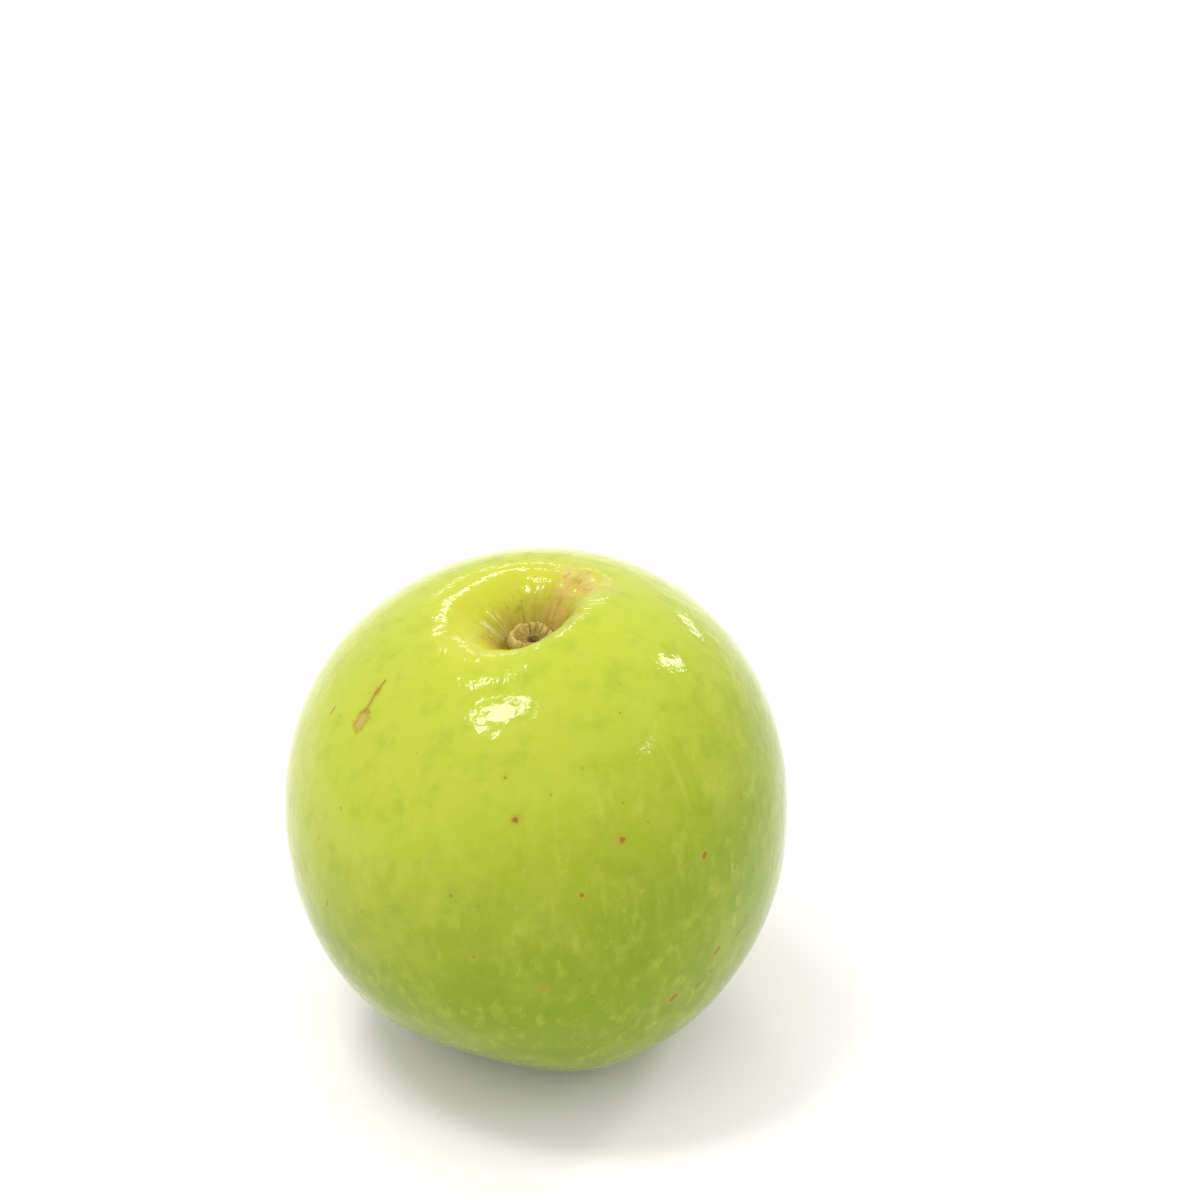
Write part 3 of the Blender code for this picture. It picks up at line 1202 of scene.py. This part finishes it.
@dataclass
class StalkCup:
    """The dry cup in the stem cavity, with the scar and the stub of the stalk."""

    sides: int = 72
    subdivisions: int = 2

    def profile(self) -> tuple[tuple[float, float], ...]:
        """Gives the cup's half outline.

        Returns:
            The radius and the height of each ring in millimetres, from the skirt to the stub.
        """
        return (
            (2.95, -0.05),
            (2.9, 0.45),
            (2.6, 0.85),
            (2.42, 1.2),
            (2.25, 1.5),
            (2.08, 1.5),
            (1.92, 1.25),
            (1.72, 0.9),
            (1.45, 0.7),
            (1.1, 0.62),
            (0.8, 0.66),
            (0.62, 0.6),
            (0.52, 0.3),
            (0.34, 0.25),
            (0.3, 0.5),
            (0.18, 0.56),
        )

    def build(self, middle: Vector) -> bpy.types.Object:
        """Models the cup.

        Args:
            middle: The middle of the cup's underside, in metres.

        Returns:
            The cup.
        """
        bpy.ops.object.select_all(action="DESELECT")
        rings = self.profile()
        bpy.ops.mesh.primitive_circle_add(
            vertices=self.sides, radius=rings[0][0] * MM, fill_type="NGON"
        )
        piece = bpy.context.object
        piece.name = piece.data.name = "dry_stalk_cup"
        bpy.ops.object.mode_set(mode="EDIT")
        bpy.ops.mesh.select_all(action="SELECT")
        bpy.ops.transform.translate(value=(0, 0, rings[0][1] * MM))
        for (near, low), (far, high) in zip(rings, rings[1:]):
            bpy.ops.mesh.extrude_region_move(
                TRANSFORM_OT_translate={"value": (0, 0, (high - low) * MM)}
            )
            share = far / near
            bpy.ops.transform.resize(value=(share, share, 1), center_override=(0, 0, 0))
        bpy.ops.mesh.poke()
        bpy.ops.object.mode_set(mode="OBJECT")
        self.close_underside()
        finer = piece.modifiers.new("finer", "SUBSURF")
        finer.levels = finer.render_levels = self.subdivisions
        bpy.ops.object.modifier_apply(modifier=finer.name)
        growth = Growth()
        for vert in piece.data.vertices:
            vert.co = growth.move(vert.co / MM) * MM + middle
        bpy.ops.object.shade_smooth()
        return piece

    def close_underside(self) -> None:
        """Fills the open ring under the cup, which is the active object."""
        bpy.ops.object.mode_set(mode="EDIT")
        bpy.ops.mesh.select_all(action="DESELECT")
        bpy.ops.mesh.select_non_manifold()
        bpy.ops.mesh.edge_face_add()
        bpy.ops.mesh.poke()
        bpy.ops.mesh.select_all(action="SELECT")
        bpy.ops.mesh.normals_make_consistent(inside=False)
        bpy.ops.object.mode_set(mode="OBJECT")

    def dress(self, piece: bpy.types.Object, middle: Vector) -> None:
        """Gives the cup its finish and its place in the frame.

        Args:
            piece: The cup.
            middle: The middle of the cup's underside, in metres.
        """
        piece.data.materials.append(CupFinish().build(middle))
        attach(piece, BODY)
        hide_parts("stalk_cup")


@dataclass(frozen=True)
class Viewpoint:
    """Where the photograph was taken from, looking along +Y and down.

    The lens and the sensor are in millimetres, the place and the near clip in metres.
    """

    place: tuple[float, float, float] = (0.00725, -0.45651, 0.37291)
    drop: float = 34.6
    lens: float = 150.0
    sensor: float = 36.0
    near_clip: float = 0.01
    frame_pixels: int = 1200

    def find_on(self, piece: bpy.types.Object, pixel: tuple[float, float]) -> Vector:
        """Finds the point of a piece that shows at a pixel of the photograph.

        Args:
            piece: The piece, which sits at the origin.
            pixel: The pixel across and down.

        Returns:
            The point, in metres.
        """
        half = self.frame_pixels / 2
        reach = self.sensor / 2 / self.lens / half
        across, down = pixel
        way = Vector(((across - half) * reach, (half - down) * reach, -1))
        way.rotate(Matrix.Rotation(math.radians(90 - self.drop), 3, "X"))
        hit, place, _, _ = piece.ray_cast(Vector(self.place), way.normalized())
        if not hit:
            raise ValueError(f"{pixel} isn't on {piece.name}")
        return place

    def set_camera(self) -> None:
        """Places the camera."""
        data = bpy.data.cameras.new("camera")
        data.sensor_width = self.sensor
        data.lens = self.lens
        data.clip_start = self.near_clip
        camera = bpy.data.objects.new("camera", data)
        camera.location = self.place
        camera.rotation_euler = (math.radians(90 - self.drop), 0, 0)
        bpy.context.scene.collection.objects.link(camera)
        bpy.context.scene.camera = camera


@dataclass(frozen=True)
class Softbox:
    """A rectangular studio light that faces the fruit. Sizes in metres, the power in watts.

    The width is along its own X, which runs from front to back where it hangs nearly overhead.
    """

    name: str
    direction: tuple[float, float, float]
    distance: float
    width: float
    depth: float
    power: float

    def hang(self, target: Vector) -> None:
        """Hangs the light.

        Args:
            target: The point that it faces.
        """
        lamp = bpy.data.lights.new(self.name, "AREA")
        lamp.shape = "RECTANGLE"
        lamp.size = self.width
        lamp.size_y = self.depth
        lamp.energy = self.power
        made = bpy.data.objects.new(self.name, lamp)
        made.location = target + Vector(self.direction).normalized() * self.distance
        made.rotation_euler = (target - made.location).to_track_quat("-Z", "Y").to_euler()
        bpy.context.scene.collection.objects.link(made)


@dataclass
class Studio:
    """The pale table and the lights. Sizes in metres."""

    middle: tuple[float, float, float] = (0.0, 0.0, 0.029)
    sky: float = 1.03
    table_size: float = 8.0
    table_drop: float = 0.00005
    table_tone: Colour = (0.94, 0.905, 0.915)
    table_roughness: float = 0.9
    table_specular: float = 0.1

    def softboxes(self) -> tuple[Softbox, ...]:
        """Gives the lights.

        Returns:
            The key light, and the small ones that draw the other highlights.
        """
        return (
            Softbox("key_light", (-0.32, -0.09, 0.94), 0.7, 0.11, 0.19, 1.55),
            Softbox("strip_light", (-0.35, 0.32, 0.88), 0.7, 0.15, 0.024, 0.36),
            Softbox("back_light", (-0.1, 0.72, 0.67), 0.8, 0.16, 0.032, 0.44),
            Softbox("low_back_light", (-0.1, 0.9, 0.41), 0.8, 0.34, 0.016, 0.18),
            Softbox("right_back_light", (0.64, 0.42, 0.62), 0.7, 0.065, 0.18, 0.8),
            Softbox("right_low_light", (0.5, 0.85, 0.13), 0.7, 0.12, 0.04, 0.1),
            Softbox("right_light", (0.69, -0.34, 0.64), 0.7, 0.04, 0.04, 0.08),
        )

    def build(self) -> None:
        """Sets the table, the lights and the surroundings."""
        target = Vector(self.middle)
        bpy.ops.object.select_all(action="DESELECT")
        bpy.ops.mesh.primitive_plane_add(size=self.table_size, location=(0, 0, -self.table_drop))
        table = bpy.context.object
        table.name = "table"
        finish = bpy.data.materials.new("table_white")
        finish.use_nodes = True
        shader = finish.node_tree.nodes["Principled BSDF"]
        shader.inputs["Base Color"].default_value = (*self.table_tone, 1)
        shader.inputs["Roughness"].default_value = self.table_roughness
        shader.inputs["Specular IOR Level"].default_value = self.table_specular
        table.data.materials.append(finish)
        for softbox in self.softboxes():
            softbox.hang(target)
        world = bpy.data.worlds.new("white_room")
        world.use_nodes = True
        background = world.node_tree.nodes["Background"]
        background.inputs["Color"].default_value = (1, 1, 1, 1)
        background.inputs["Strength"].default_value = self.sky
        bpy.context.scene.world = world
        bpy.context.scene.view_settings.view_transform = "Standard"


def main() -> None:
    """Builds and dresses each piece in order, and reports it."""
    logging.basicConfig(level=logging.INFO, format="%(name)s: %(message)s")
    low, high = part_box("stalk_cup")
    seat = Vector(((low.x + high.x) / 2, (low.y + high.y) / 2, low.z))
    skin = FruitSkin()
    skin_piece = skin.build(seat)
    view = Viewpoint()
    skin.dress(skin_piece, seat, view)
    LOG.info("%s has %d faces", skin_piece.name, len(skin_piece.data.polygons))
    cup = StalkCup()
    cup_piece = cup.build(seat)
    cup.dress(cup_piece, seat)
    LOG.info("%s has %d faces", cup_piece.name, len(cup_piece.data.polygons))
    Studio().build()
    view.set_camera()


if __name__ == "__main__":
    main()
